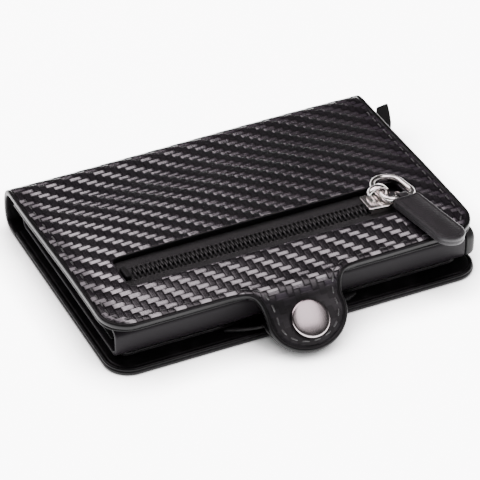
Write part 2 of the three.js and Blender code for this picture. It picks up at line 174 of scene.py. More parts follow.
def loft(name, rings, material, cyclic=False, weave=None, rim=None):
    """Joins equal closed rings of points into a solid, closed on itself or capped."""
    rings = np.asarray(rings, float)
    rows, columns = rings.shape[:2]
    faces = strip_faces(rows, columns, 0, cyclic)
    if not cyclic:
        faces += [tuple(range(columns)), tuple(range((rows - 1) * columns, rows * columns))]
    weave = None if weave is None else np.reshape(weave, (-1, 2))
    rim = None if rim is None else np.ravel(rim)
    return fix_normals(make_mesh(name, rings.reshape(-1, 3), faces, material, weave, rim))


def add_tube(verts, faces, centre, radius, side, up, sides):
    """Adds a short capped tube: a centre, a radius and two directions across it for each ring."""
    start = len(verts)
    for c, r, a, b in zip(centre, radius, side, up):
        for j in range(sides):
            angle = 2 * math.pi * j / sides
            verts.append(c + r * (math.cos(angle) * a + math.sin(angle) * b))
    last = len(verts) - sides
    faces += strip_faces(len(centre), sides, start)
    faces += [tuple(range(start, start + sides)), tuple(range(last, last + sides))]


def smooth_curve(points, count):
    """Points spaced evenly along a centripetal Catmull-Rom curve."""
    p = np.asarray(points, float)
    p = np.vstack([2 * p[0] - p[1], p, 2 * p[-1] - p[-2]])

    def between(a, b, low, high, t):
        return (high - t) / (high - low) * a + (t - low) / (high - low) * b

    dense = []
    for i in range(1, len(p) - 2):
        knots = [0.0]
        for k in range(3):
            knots.append(knots[-1] + max(np.linalg.norm(p[i + k] - p[i + k - 1]), 1e-9) ** 0.5)
        t0, t1, t2, t3 = knots
        for t in np.linspace(t1, t2, 24, endpoint=i == len(p) - 3):
            a1, a2, a3 = (between(p[i + k - 1], p[i + k], knots[k], knots[k + 1], t) for k in range(3))
            dense.append(between(between(a1, a2, t0, t2, t), between(a2, a3, t1, t3, t), t1, t2, t))
    return resample(np.array(dense), count)


def lengths(line):
    """Distance run at each point of a line."""
    return np.concatenate([[0], np.cumsum(np.linalg.norm(np.diff(line, axis=0), axis=1))])


def unit(vectors):
    """Rows scaled to length one."""
    return vectors / np.linalg.norm(vectors, axis=1)[:, None]


def directions(line, closed=False):
    """Unit tangents of a line."""
    return unit(np.roll(line, -1, 0) - np.roll(line, 1, 0) if closed else np.gradient(line, axis=0))


def resample(line, count):
    """Points spaced evenly along a polyline."""
    s = lengths(line)
    t = np.linspace(0, s[-1], count)
    return np.stack([np.interp(t, s, line[:, k]) for k in range(line.shape[1])], 1)


def wire_loop(name, line, radius, sides, material):
    """A round wire along a closed line, with turned frames so that it doesn't twist."""
    ahead = directions(line, closed=True)
    angles = 2 * np.pi * np.arange(sides)[:, None] / sides
    side = np.cross(ahead[0], (0.0, 0.0, 1.0))
    rings = []
    for centre, forward in zip(line, ahead):
        side = side - forward * side.dot(forward)
        side /= np.linalg.norm(side)
        rings.append(centre + radius * (np.cos(angles) * side + np.sin(angles) * np.cross(side, forward)))
    return loft(name, rings, material, cyclic=True)


def lathe(name, profile, steps, material, place):
    """A turned piece from (radius, z) points, both ends on the axis, moved by place."""
    angles = 2 * np.pi * np.arange(steps) / steps
    verts = [(r * math.cos(a), r * math.sin(a), z) for r, z in profile[1:-1] for a in angles]
    first, last = len(verts), len(verts) + 1
    end = first - steps
    verts += [(0, 0, profile[0][1]), (0, 0, profile[-1][1])]
    faces = strip_faces(len(profile) - 2, steps)
    for j in range(steps):
        k = (j + 1) % steps
        faces += [(first, k, j), (last, end + j, end + k)]
    return fix_normals(make_mesh(name, [place @ Vector(v) for v in verts], faces, material))


def bevelled(name, outline, low, high, bevel, material, segments=3):
    """A flat outline given a thickness, with rounded edges."""
    def round_edges(work):
        sharp = [e for e in work.edges if len(e.link_faces) == 2 and e.calc_face_angle() > 0.6]
        bmesh.ops.bevel(work, geom=sharp, offset=bevel * MM, segments=segments, profile=0.5,
                        affect="EDGES", clamp_overlap=True)

    verts = [(x, y, z) for z in (low, high) for x, y in outline]
    obj = loft(name, np.reshape(verts, (2, -1, 3)), material)
    edit(obj, round_edges)
    obj.data.polygons.foreach_set("use_smooth", [True] * len(obj.data.polygons))
    return sharpen(obj)


def join(name, pieces):
    """Joins meshes into the first one."""
    bpy.ops.object.select_all(action="DESELECT")
    for piece in pieces:
        piece.select_set(True)
    bpy.context.view_layer.objects.active = pieces[0]
    bpy.ops.object.join()
    pieces[0].name = name
    pieces[0].data.name = name
    return pieces[0]


def step(low, high, value):
    """Smooth rise from 0 at low to 1 at high."""
    t = np.clip((value - low) / (high - low), 0, 1)
    return t * t * (3 - 2 * t)


# ---- materials ----
class Shade:
    """Builds a node material with short calls."""

    def __init__(self, name, **settings):
        self.material = bpy.data.materials.new(name)
        self.material.use_nodes = True
        self.tree = self.material.node_tree
        self.shader = self.tree.nodes["Principled BSDF"]
        self.use(**settings)

    def add(self, kind, inputs=None, **props):
        node = self.tree.nodes.new(kind)
        for key, value in props.items():
            setattr(node, key, value)
        for key, value in (inputs or {}).items():
            self.feed(node.inputs[key], value)
        return node

    def feed(self, socket, value):
        if isinstance(value, bpy.types.NodeSocket):
            self.tree.links.new(value, socket)
        elif value is not None:
            socket.default_value = value

    def math(self, operation, *values):
        return self.add("ShaderNodeMath", dict(enumerate(values)), operation=operation).outputs[0]

    def times(self, a, b):
        return self.math("MULTIPLY", a, b)

    def plus(self, a, b):
        return self.math("ADD", a, b)

    def minus(self, a, b):
        return self.math("SUBTRACT", a, b)

    def scaled(self, value, factor, offset):
        return self.math("MULTIPLY_ADD", value, factor, offset)

    def steep(self, value, power):
        return self.math("POWER", self.math("ABSOLUTE", value), power)

    def vector(self, operation, a, b=None):
        other = "Scale" if operation == "SCALE" else 1
        return self.add("ShaderNodeVectorMath", {0: a, other: b}, operation=operation).outputs[0]

    def split(self, vector):
        return self.add("ShaderNodeSeparateXYZ", {0: vector}).outputs

    def mix(self, factor, a, b):
        return self.add("ShaderNodeMix", {0: factor, 2: a, 3: b}, data_type="FLOAT").outputs[0]

    def color(self, factor, a, b):
        return self.add("ShaderNodeMix", {0: factor, 6: a, 7: b}, data_type="RGBA").outputs[2]

    def smooth(self, value, low, high, to_low=0.0, to_high=1.0):
        limits = {0: value, 1: low, 2: high, 3: to_low, 4: to_high}
        return self.add("ShaderNodeMapRange", limits, interpolation_type="SMOOTHSTEP").outputs[0]

    def place(self, scale=(1, 1, 1)):
        where = self.add("ShaderNodeTexCoord").outputs["Object"]
        return self.add("ShaderNodeMapping", {"Vector": where, "Scale": scale}).outputs[0]

    def noise(self, scale, detail=3.0, vector=None):
        inputs = {"Vector": vector or self.place(), "Scale": scale, "Detail": detail, "Roughness": 0.55}
        return self.add("ShaderNodeTexNoise", inputs).outputs["Fac"]

    def bump(self, height, distance, normal=None):
        inputs = {"Height": height, "Distance": distance, "Strength": 1.0, "Normal": normal}
        return self.add("ShaderNodeBump", inputs).outputs[0]

    def use(self, **sockets):
        for key, value in sockets.items():
            self.feed(self.shader.inputs[key.replace("_", " ")], value)
        return self.material

    def finish(self, color, rough, normal, **sockets):
        return self.use(Base_Color=color, Roughness=rough, Normal=normal, **sockets)


def grey(value, warm=0.0):
    """A near grey; warm adds red, and a little more blue."""
    return (value * (1 + warm), value, value * (1 + warm * 1.3), 1.0)


def carbon_leather():
    """Coated leather embossed with a two-by-two twill, smooth and darker on its rim."""
    s = Shade("carbon_leather", IOR=1.8)
    parts = s.split(s.add("ShaderNodeUVMap", uv_map="weave").outputs[0])
    a, b = (s.math("DIVIDE", part, CELL) for part in parts[:2])
    fa, fb = (s.math("FRACT", part) for part in (a, b))
    phase = s.math("FLOORED_MODULO", s.plus(s.math("FLOOR", a), s.math("FLOOR", b)), 4.0)
    warp = s.math("GREATER_THAN", phase, 1.5)
    along = s.mix(warp, s.times(s.plus(phase, fa), 0.5), s.times(s.plus(s.minus(phase, 2.0), fb), 0.5))
    across = s.mix(warp, fb, fa)
    across_side, along_side = (s.scaled(part, 2.0, -1.0) for part in (across, along))
    # Slopes of the pillow-shaped float, and of the fine ribs that run along it.
    pillow = s.steep(across_side, 2.5)
    signed_pillow = s.times(pillow, s.math("SIGN", across_side))
    ends = s.steep(along_side, 5.0)
    slope_along = s.times(s.times(ends, s.math("SIGN", along_side)), -0.3)
    ribbed = s.times(s.math("SINE", s.times(across, 2 * math.pi * 4)), -0.045)
    # A weft float leans to the front and catches the light; a warp float lies flat.
    weft_across = s.plus(s.scaled(pillow, -0.30, WEFT_LEAN), ribbed)
    warp_across = s.scaled(signed_pillow, -0.20, ribbed)
    rim = s.add("ShaderNodeAttribute", attribute_name="rim").outputs["Fac"]
    flat, border = s.smooth(rim, 0.35, 0.65), s.smooth(rim, 0.0, 0.3)
    fade = s.minus(1.0, flat)
    slope_x = s.times(s.mix(warp, slope_along, warp_across), fade)
    slope_y = s.times(s.mix(warp, weft_across, slope_along), fade)
    normal = s.add("ShaderNodeNewGeometry").outputs["Normal"]
    tangent = s.add("ShaderNodeTangent", direction_type="UV_MAP", uv_map="weave").outputs[0]
    side = s.vector("CROSS_PRODUCT", normal, tangent)
    moved = s.vector("SUBTRACT", normal, s.vector("SCALE", tangent, slope_x))
    moved = s.vector("SUBTRACT", moved, s.vector("SCALE", side, slope_y))
    bumped = s.bump(s.noise(900.0, 4.0), 0.00004, s.vector("NORMALIZE", moved))
    # Painted shade: the grooves between the floats get a darker tone and lose their sheen, as if in shadow;
    # their dip in the normals is real relief.
    gap = s.times(s.math("MAXIMUM", s.steep(across_side, 7.0), ends), fade)
    cloud = s.noise(60.0, 4.0)
    # Painted highlight: the weft floats' tone is about twice the warp floats' tone, though both are the same
    # leather, so the floats that catch the light read lighter.
    weft_tone_painted_lit = s.color(cloud, grey(0.0170, 0.20), grey(0.0230, 0.20))
    warp_tone = s.color(cloud, grey(0.0070, 0.16), grey(0.0100, 0.16))
    tone = s.color(gap, s.color(warp, weft_tone_painted_lit, warp_tone), grey(0.0035))
    tone = s.color(flat, tone, s.color(cloud, grey(0.0026, 0.04), grey(0.0042, 0.04)))
    shine = s.mix(warp, s.mix(border, 0.85, 0.26), s.mix(border, 0.22, 0.10))
    shine = s.times(s.mix(flat, shine, 0.05), s.minus(1.0, gap))
    rough = s.mix(flat, s.mix(warp, 0.215, 0.25), 0.36)
    rough = s.plus(rough, s.times(s.minus(cloud, 0.5), 0.10))
    return s.finish(tone, rough, bumped, Specular_IOR_Level=shine)


def plain_leather(name, tone, shine=0.3):
    """Fine-grained leather: small cells and creases."""
    s = Shade(name, Specular_IOR_Level=shine)
    cells = s.add("ShaderNodeTexVoronoi", {"Vector": s.place(), "Scale": 1400.0}, feature="DISTANCE_TO_EDGE")
    pores = s.smooth(cells.outputs[0], 0.0, 0.25)
    cloud = s.noise(90.0, 5.0)
    height = s.plus(s.times(pores, 0.6), s.times(s.noise(500.0, 5.0), 0.8))
    color = s.color(cloud, grey(tone * 0.8, 0.04), grey(tone * 1.35, 0.06))
    rough = s.smooth(cloud, 0.25, 0.75, 0.38, 0.52)
    return s.finish(color, rough, s.bump(height, 0.00005))


def edge_paint():
    """Smooth painted leather edge, a little worn."""
    s = Shade("edge_paint", Specular_IOR_Level=0.08)
    wear = s.noise(300.0, 6.0)
    color = s.color(s.smooth(wear, 0.45, 0.75), grey(0.0025, 0.05), grey(0.007, 0.06))
    return s.finish(color, s.smooth(wear, 0.3, 0.7, 0.30, 0.42), s.bump(s.noise(220.0, 4.0), 0.00006))


def woven_tape():
    """A plain-woven zip tape: threads over and under."""
    tone, pitch = 0.015, 0.50 * MM
    s = Shade("zip_tape", Specular_IOR_Level=0.3)
    parts = s.split(s.place((1 / pitch, 1 / pitch, 1 / pitch)))
    waves = [s.math("SINE", s.times(part, 2 * math.pi)) for part in parts[:2]]
    height = s.scaled(s.times(*waves), 0.5, 0.5)
    cloud = s.noise(150.0, 4.0)
    color = s.color(height, grey(tone * 0.6), grey(tone * 1.4))
    color = s.color(s.times(cloud, 0.4), color, grey(tone * 1.6))
    return s.finish(color, s.smooth(cloud, 0.2, 0.8, 0.7, 0.9), s.bump(height, 0.00012))


def anodised():
    """Black anodised aluminium with a fine lengthwise grain."""
    s = Shade("anodised_aluminium", Specular_IOR_Level=0.05)
    brushed = s.noise(1.0, 3.0, s.place((40.0, 4000.0, 4000.0)))
    color = s.color(brushed, (0.0048, 0.0041, 0.0048, 1), (0.0064, 0.0055, 0.0065, 1))
    rough = s.plus(s.smooth(s.noise(35.0, 4.0), 0.3, 0.7, 0.30, 0.36), s.times(brushed, 0.08))
    return s.finish(color, rough, s.bump(brushed, 0.00001))


def moulded_plastic():
    """Black moulded plastic with a fine spark texture."""
    s = Shade("black_plastic", Specular_IOR_Level=0.10)
    cloud = s.noise(120.0, 4.0)
    return s.finish(s.color(cloud, grey(0.0060), grey(0.0095)), s.smooth(cloud, 0.3, 0.7, 0.36, 0.5),
                    s.bump(s.noise(2200.0, 2.0), 0.00002))


def metal(name, tone, rough, scratch):
    """Plated metal with hairline scratches and slight tarnish."""
    s = Shade(name, Metallic=1.0)
    lines = s.noise(1.0, 2.0, s.place((3000.0, 250.0, 800.0)))
    cloud = s.noise(180.0, 4.0)
    color = s.color(cloud, (*(c * 0.86 for c in tone), 1), (*tone, 1))
    roughness = s.plus(s.smooth(cloud, 0.3, 0.8, rough, rough + 0.08), s.times(lines, scratch))
    return s.finish(color, roughness, s.bump(lines, 0.000004))


def even_finish(name, shine, noise, tones, limits, relief):
    """A finish whose tone, roughness and relief all follow one noise."""
    s = Shade(name, Specular_IOR_Level=shine)
    cloud = s.noise(*noise)
    return s.finish(s.color(cloud, *map(grey, tones)), s.smooth(cloud, *limits), s.bump(cloud, relief))


def nylon():
    """Black nylon coil: glossy, slightly uneven."""
    return even_finish("zip_coil", 0.35, (700.0, 3.0), (0.004, 0.008), (0.3, 0.7, 0.36, 0.5), 0.00002)


def thread():
    """Black twisted sewing thread."""
    return even_finish("thread", 0.45, (2600.0, 2.0), (0.016, 0.034), (0.3, 0.7, 0.38, 0.55), 0.00004)


def felt():
    """Dull black felt."""
    return even_finish("soft_pad", 0.2, (1800.0, 6.0), (0.008, 0.03), (0.2, 0.8, 0.85, 1.0), 0.0001)


def table_top():
    """A light table: it glows, and ambient occlusion dims the glow where something rests on it, a painted
    contact shadow.
    """
    s = Shade("table", Roughness=0.55, Specular_IOR_Level=0.2, Base_Color=(0.92, 0.92, 0.925, 1),
              Emission_Color=(1, 1, 1, 1))
    contact_shadow_ao = s.add("ShaderNodeAmbientOcclusion", {"Distance": 0.016}, samples=8).outputs["AO"]
    # Painted shadow: the glow falls off with the ambient occlusion next to the wallet.
    return s.use(Emission_Strength=s.times(s.math("POWER", contact_shadow_ao, 3.0), 8.5))


CARBON = carbon_leather()
PULL_LEATHER = plain_leather("pull_leather_finish", 0.018, 0.13)
SLOT_LEATHER = plain_leather("slot_leather_finish", 0.0075)
HEM_LEATHER = plain_leather("hem_leather_finish", 0.018)
TONGUE_LEATHER = plain_leather("tongue_leather_finish", 0.003, 0.12)
PAINT = edge_paint()
TAPE = woven_tape()
ALUMINIUM = anodised()
PLASTIC = moulded_plastic()
NICKEL = metal("nickel", (0.86, 0.82, 0.80), 0.12, 0.05)
# Painted reflection: the snap's dome is the same nickel, given about a third of its tone so that it reads
# grey, as it does when it reflects a dark surrounding.
SNAP_NICKEL_PAINTED_DARK = metal("snap_nickel_painted_dark", (0.30, 0.265, 0.27), 0.16, 0.06)
STEEL = metal("steel", (0.55, 0.55, 0.56), 0.26, 0.10)
NYLON = nylon()
THREAD = thread()
FELT = felt()


# ---- the cover's section ----
STRAP_LINE = [(-34.0, 13.75), (-34.9, 13.6), (-35.8, 13.15), (-36.8, 12.3), (-38.6, 10.35),
              (-39.9, 9.2), (-42.3, 7.3), (-45.6, 4.75), (-48.6, 2.7)]
STRAP_CURVE = smooth_curve(STRAP_LINE, 120)
STRAP_SLOPE = directions(STRAP_CURVE)
STRAP_RUN = lengths(STRAP_CURVE)
SNAP_Y = -42.3
SNAP_V = FRONT - np.interp(-SNAP_Y, -STRAP_CURVE[:, 0], STRAP_RUN)
STRAP_HALF = 10.4
STRAP_TWIST = 0.09
STRAP_END = FRONT - STRAP_RUN[-1]
STRAP_BEND = {"start": (0, -0.0335, 0.0137), "end": (0, -0.0372, 0.0118)}


def cover_height(x, v):
    """How far the zip pocket puffs the top leather, and how its free corner curls up."""
    droop = -0.35 * step(-20, -34, v)
    across = np.clip(1 - (np.abs(x) / 49) ** 4, 0, 1)
    along = step(-34, -20, v) * step(26, 6, v)
    puff = 0.95 * across * along
    curl = 0.6 * step(20, 51, x) * step(20, -10, v)
    lean = (0.35 - 1.6 * step(42, -51, x)) * step(-14, 26, v)
    return droop + puff + curl + lean


def on_cover(x, v, depth):
    """Pattern point to place, at a depth below the outer face."""
    x, v, depth = np.broadcast_arrays(np.asarray(x, float), v, depth)
    flat = np.stack([x, v, TOP + cover_height(x, v) - depth], -1)
    s = np.clip(FRONT - v, 0, STRAP_RUN[-1])
    y, z, ty, tz = (np.interp(s, STRAP_RUN, values) for values in (*STRAP_CURVE.T, *STRAP_SLOPE.T))
    twist = STRAP_TWIST * (x - STRAP_X) * step(FRONT - 3, SNAP_V, v)
    bent = np.stack([x, y - tz * depth, z + ty * depth + twist], -1)
    mixed = step(FRONT + 0.6, FRONT - 0.6, v)[..., None]
    return flat * (1 - mixed) + bent * mixed


def level(z, direction=-1):
    """Lays pattern points flat at a height, with their depth below it or, with 1, above it."""
    def place(x, v, depth):
        x, v, depth = np.broadcast_arrays(np.asarray(x, float), v, depth)
        return np.stack([x, v, z + direction * depth], -1)

    return place


def arc(cx, cy, r, start, end, count, ry=None):
    """Points on an arc, or on a quarter of an ellipse; angles in degrees."""
    t = np.radians(np.linspace(start, end, count))
    return np.stack([cx + r * np.cos(t), cy + (ry or r) * np.sin(t)], 1)


def rounded_loop(x0, y0, x1, y1, r, count=7):
    """A rectangle with round corners, anticlockwise."""
    corners = ((x0 + r, y0 + r, 180), (x1 - r, y0 + r, 270), (x1 - r, y1 - r, 0), (x0 + r, y1 - r, 90))
    return np.vstack([arc(x, y, r, start, start + 90, count) for x, y, start in corners])


def bezier(p0, p1, p2, p3, count):
    """Points on a cubic curve."""
    t = np.linspace(0, 1, count)[:, None]
    p0, p1, p2, p3 = map(np.array, (p0, p1, p2, p3))
    return (1 - t) ** 3 * p0 + 3 * (1 - t) ** 2 * t * p1 + 3 * (1 - t) * t * t * p2 + t ** 3 * p3


def cover_outline():
    """The top leather's open outline, from the spine seam round the front and back to it."""
    x0 = STRAP_X - STRAP_HALF
    neck, flare, shoulder = FRONT - 7.0, 8.6, SNAP_V + 1.5
    left = np.vstack([
        [(-HALF, SEAM), (-HALF, FRONT + CORNER)],
        arc(-HALF + CORNER, FRONT + CORNER, CORNER, 180, 270, 20),
        [(-HALF + CORNER, FRONT), (x0 - flare, FRONT)],
        bezier((x0 - flare, FRONT), (x0 - 2.6, FRONT), (x0 - 0.8, FRONT - 1.6), (x0, neck), 22),
        [(x0, neck), (x0, shoulder)],
        arc(STRAP_X, shoulder, STRAP_HALF, 180, 270, 26, shoulder - STRAP_END),
    ])
    right = left[::-1] * (-1, 1)
    right[:, 0] += 2 * STRAP_X
    # The strap sits a little off centre, so the right side is pulled back out to the cover's edge.
    beyond = step(x0 + 2 * STRAP_HALF + flare, HALF - CORNER - 6, right[:, 0])
    right[:, 0] -= beyond * 2 * STRAP_X
    return resample(drop_repeats(np.vstack([left, right])), 420)


def drop_repeats(line):
    """A line without points that repeat."""
    keep = np.concatenate([[True], np.linalg.norm(np.diff(line, axis=0), axis=1) > 1e-6])
    return line[keep]


def inward(line, closed=False):
    """Unit normals to the left of an anticlockwise line."""
    return directions(line, closed)[:, ::-1] * (-1, 1)


def rim_profile(thickness):
    """The leather's edge from its underside round to its face: (inset, depth)."""
    return np.array([
        (1.0, thickness), (0.35, thickness), (0.10, thickness - 0.12), (0.0, thickness - 0.40), (0.0, 0.62),
        (0.05, 0.36), (0.18, 0.15), (0.42, 0.02), (0.68, 0.0), (0.88, 0.07), (1.0, 0.17), (1.12, 0.17),
        (1.3, 0.05), (1.6, 0.0),
    ])


RIM_FADE = 1.05


def dull(x, v):
    """The rim value away from the edges: the weave fades at the sides, on the spine and on the strap."""
    sides = 0.3 * step(44.6, 47.2, np.abs(x))
    strap = 0.58 * step(-35.0, -38.5, v)
    spine = 0.3 * step(SEAM + 2.5, SEAM + 6.5, v)
    return np.maximum(np.maximum(sides, strap), spine)


def window_outline():
    """The zip window, clockwise so that its normals point away from the hole."""
    low, high = box_mm("zip_tape_front")
    back = box_mm("zip_tape_back")[1][1]
    lap = 1.5
    loop = rounded_loop(low[0] + lap, low[1] + lap, high[0] - lap, back - lap, 1.6)
    return resample(np.vstack([loop, loop[:1]]), 241)[:-1][::-1]


def inside(points, loop):
    """Which points lie inside a closed loop."""
    x, y = points[:, 0][:, None], points[:, 1][:, None]
    x0, y0 = loop[:, 0][None], loop[:, 1][None]
    x1, y1 = np.roll(loop[:, 0], -1)[None], np.roll(loop[:, 1], -1)[None]
    cross = (y0 > y) != (y1 > y)
    with np.errstate(divide="ignore", invalid="ignore"):
        at = x0 + (y - y0) / (y1 - y0) * (x1 - x0)
    return (cross & (x < at)).sum(1) % 2 == 1


def distance_to(points, loop):
    """Each point's distance to a closed loop."""
    best = np.full(len(points), 1e9)
    for a, b in zip(loop, np.roll(loop, -1, 0)):
        d = b - a
        t = np.clip(((points - a) @ d) / max(d @ d, 1e-12), 0, 1)[:, None]
        best = np.minimum(best, np.linalg.norm(points - a - t * d, axis=1))
    return best


def fill(outer, holes, spacing):
    """Triangles inside an outer loop and outside the holes, with even points between."""
    low, high = outer.min(0), outer.max(0)
    gx, gy = (np.arange(low[k] + spacing, high[k], spacing) for k in (0, 1))
    grid = np.stack(np.meshgrid(gx, gy), -1).reshape(-1, 2)
    keep = inside(grid, outer)
    for hole in holes:
        keep &= ~inside(grid, hole)
    edges, start = [], 0
    for loop in [outer, *holes]:
        keep &= distance_to(grid, loop) > spacing * 0.45
        count = len(loop)
        edges += [(start + i, start + (i + 1) % count) for i in range(count)]
        start += count
    points = np.vstack([outer, *holes, grid[keep]])
    verts, _, faces, _, _, _ = delaunay_2d_cdt([Vector(p) for p in points], edges, [], 1, 1e-7)
    verts = np.array([tuple(v) for v in verts])
    assert len(verts) == len(points)
    centres = np.array([verts[list(f)].mean(0) for f in faces])
    good = np.ones(len(faces), bool)
    for hole in holes:
        good &= ~inside(centres, hole)
    return points, [tuple(f) for f, ok in zip(faces, good) if ok]


def leather_sheet(name, outline, holes, thickness, place, material, spacing=1.5):
    """A sheet of leather with a rounded rim along its open outline and round its holes.

    The outline runs anticlockwise and its two ends lie on a straight seam, which is left square.
    """
    rim = rim_profile(thickness)
    normals = inward(outline)
    normals[0] = (np.sign(-outline[0][0]), 0)
    normals[-1] = (np.sign(-outline[-1][0]), 0)
    verts, weave, flat, faces = [], [], [], []

    def add_points(points, depth, edge):
        start = sum(len(v) for v in verts)
        verts.append(place(points[:, 0], points[:, 1], depth))
        weave.append(points)
        flat.append(np.ones(len(points)) if edge else dull(points[:, 0], points[:, 1]))
        return start

    count = len(outline)
    rows = [add_points(outline + normals * inset, depth, inset < RIM_FADE or depth > 0.5)
            for inset, depth in rim]
    for a, b in zip(rows, rows[1:]):
        faces += [(a + i, a + i + 1, b + i + 1, b + i) for i in range(count - 1)]
    hole_rows, hole_lines = [], []
    for hole in holes:
        out = inward(hole, closed=True)
        profile = [(0.9, thickness), (0.10, thickness), (0.0, thickness - 0.2), (0.0, 0.35), (0.12, 0.12),
                   (0.35, 0.0), (0.9, 0.0)]
        rings = [add_points(hole + out * inset, depth, inset < 0.3) for inset, depth in profile]
        n = len(hole)
        for a, b in zip(rings, rings[1:]):
            faces += [(a + i, b + i, b + (i + 1) % n, a + (i + 1) % n) for i in range(n)]
        hole_rows.append((rings[0], rings[-1], n))
        hole_lines.append(hole + out * profile[-1][0])
    # Face and underside are filled the same way, the underside with wider spacing.
    along_seam = np.linspace(0, 1, 60)[1:-1, None]
    seams = []
    for upper in (True, False):
        row, (inset, depth) = (rows[-1], rim[-1]) if upper else (rows[0], rim[0])
        line = outline + normals * inset
        closing = line[-1] * (1 - along_seam) + line[0] * along_seam
        points, triangles = fill(np.vstack([line, closing]), hole_lines, spacing if upper else 4.0)
        rest = points[count + len(closing) + sum(n for _, _, n in hole_rows):]
        start = add_points(np.vstack([closing, rest]), depth, not upper)
        inner = start + len(closing)
        index = [*range(row, row + count), *range(start, inner)]
        for first, last, n in hole_rows:
            base = last if upper else first
            index += range(base, base + n)
        index += range(inner, inner + len(rest))
        faces += [tuple(index[k] for k in t) for t in triangles]
        seams.append([row + count - 1, *range(start, inner), row])
    # The seam's end face.
    top_seam, low_seam = seams
    right_edge = [row + count - 1 for row in rows]
    faces.append(tuple(top_seam + rows[::-1][1:] + low_seam[::-1][1:] + right_edge[1:-1]))
    obj = make_mesh(name, np.vstack(verts), faces, material, np.vstack(weave), np.concatenate(flat))
    return sharpen(fix_normals(obj), 1.1)


def stitches(name, line, place, length=2.5, gap=0.55, radius=0.24, lift=0.05):
    """A row of thread stitches along a pattern line, each dipping into the leather."""
    run = lengths(line)
    t = np.linspace(0, 1, 6)
    dip = 0.45 * (2 * np.abs(t - 0.5)) ** 4
    taper = radius * (1 - 0.35 * np.abs(2 * t - 1) ** 3)
    verts, faces = [], []
    for k in range(int(run[-1] / (length + gap))):
        start = k * (length + gap) + gap / 2
        s = np.linspace(start, start + length, len(t))
        x, v = (np.interp(s, run, values) for values in line.T)
        centre = place(x, v, dip - lift)
        up = unit(place(x, v, -1.0) - place(x, v, 0.0))
        add_tube(verts, faces, centre, taper, np.cross(directions(centre), up), 0.8 * up, 6)
    return fix_normals(make_mesh(name, verts, faces, THREAD))


def seam_line(outline):
    """The stitch line along a sheet's outline, up to the spine's seam."""
    line = outline + inward(outline) * 2.5
    return line[line[:, 1] < SEAM - 1]


# ---- cover pieces ----
def build_top_cover():
    """The zip pocket's face and the strap's face, cut from one sheet."""
    outline = cover_outline()
    cover = leather_sheet("cover_top", outline, [window_outline()], LEATHER, on_cover, CARBON)
    assign(cover, "carbon_leather", ("upper", "strap"), "pocket_panel", "strap_leather", **STRAP_BEND)
    seam = stitches("cover_top_stitching", seam_line(outline), on_cover)
    assign(seam, "plain_leather", ("upper", "strap"), **STRAP_BEND)


def on_pocket_back(x, v, depth):
    """Pattern point to place on the pocket's back, which follows the top cover at its edges."""
    x, v, depth = np.broadcast_arrays(np.asarray(x, float), v, depth)
    curl = cover_height(x, v) * 0.9 * step(30, 50, np.abs(x)) + cover_height(x, v) * 0.2
    return np.stack([x, v, TOP - LEATHER - 0.02 + curl * step(-33.9, -30, v) - depth], -1)


def plain_outline(half, front, corner):
    """A sheet's open outline with two round front corners."""
    left = np.vstack([
        [(-half, SEAM), (-half, front + corner)],
        arc(-half + corner, front + corner, corner, 180, 270, 20),
        [(-half + corner, front), (0, front)],
    ])
    right = left[::-1] * (-1, 1)
    return resample(drop_repeats(np.vstack([left, right])), 260)


def build_pocket_back():
    """The pocket's back, a thin sheet under the top cover."""
    outline = plain_outline(HALF - 0.12, FRONT + 0.12, CORNER - 0.1)
    back = leather_sheet("pocket_lining", outline, [], 0.85, on_pocket_back, PAINT, 3.0)
    assign(back, "lining_fabric", "upper", "pocket_back")


def spine_line():
    """The spine's outer face as (y, z), from the top seam round to the bottom seam."""
    upper = [(SEAM, TOP), (SEAM + 2.2, TOP - 0.02), (32.3, TOP - 0.45), (34.1, TOP - 1.9),
             (SPINE_BACK - 0.25, TOP - 4.2), (SPINE_BACK, TOP / 2)]
    lower = [(y, TOP - z) for y, z in upper[:-1]][::-1]
    return smooth_curve(upper + lower, 81)


def build_spine():
    """The spine's leather, in two halves that meet at the middle."""
    line = spine_line()
    run = SEAM + lengths(line)
    out = inward(line)
    inner_x = np.linspace(-HALF + 1.6, HALF - 1.6, 60)[1:-1]
    left = [(-HALF + inset, depth, 1.0 if inset < RIM_FADE or depth > 0.5 else 0.3)
            for inset, depth in rim_profile(LEATHER)]
    face = [(x, 0.0, dull(x, 0.0)) for x in inner_x]
    right = [(-x, depth, mask) for x, depth, mask in left[::-1]]
    under = [(x, LEATHER, 1.0) for x in inner_x[::-1][::4]]
    across, depths, edge = np.array(left + face + right + under).T
    middle = len(line) // 2
    halves = (
        ("spine_upper", slice(0, middle + 1), ("spine", "upper"), ["spine_leather"],
         {"start": (0, 0.0350, TOP * MM - 0.0035), "end": (0, 0.0300, TOP * MM)}),
        ("spine_lower", slice(middle, None), ("flap", "spine"), [],
         {"start": (0, 0.0300, 0.0), "end": (0, 0.0350, 0.0035)}),
    )
    for name, part, bodies, nodes, bend in halves:
        rings, weave, mask = [], [], []
        for (y, z), (oy, oz), v in zip(line[part], out[part], run[part]):
            lean = cover_height(across, SEAM) * z / TOP
            rings.append(np.stack([across, y - oy * depths, z - oz * depths + lean], 1))
            weave.append(np.stack([across, np.full(len(across), v)], 1))
            mask.append(np.maximum(edge, dull(0.0, v)))
        piece = sharpen(loft(name, rings, CARBON, weave=weave, rim=mask), 1.1)
        assign(piece, "carbon_leather", bodies, *nodes, **bend)


def build_flap():
    """The bottom flap's leather, its lining and its stitches, which lie just inside its lower face."""
    outline = plain_outline(HALF, FLAP_FRONT, 6.8)
    bottom = leather_sheet("cover_bottom", outline, [], 1.15, level(0.0, 1), CARBON, 2.0)
    assign(bottom, "carbon_leather", "flap", "flap_outer")
    lining = leather_sheet("flap_lining_sheet", plain_outline(HALF - 0.2, FLAP_FRONT + 0.2, 6.6), [], 0.66,
                           level(1.85), PAINT, 3.0)
    assign(lining, "lining_fabric", "flap", "flap_lining")
    under = stitches("flap_stitching", seam_line(outline), level(0.0, 1), lift=-0.175)
    assign(under, "plain_leather", "flap")


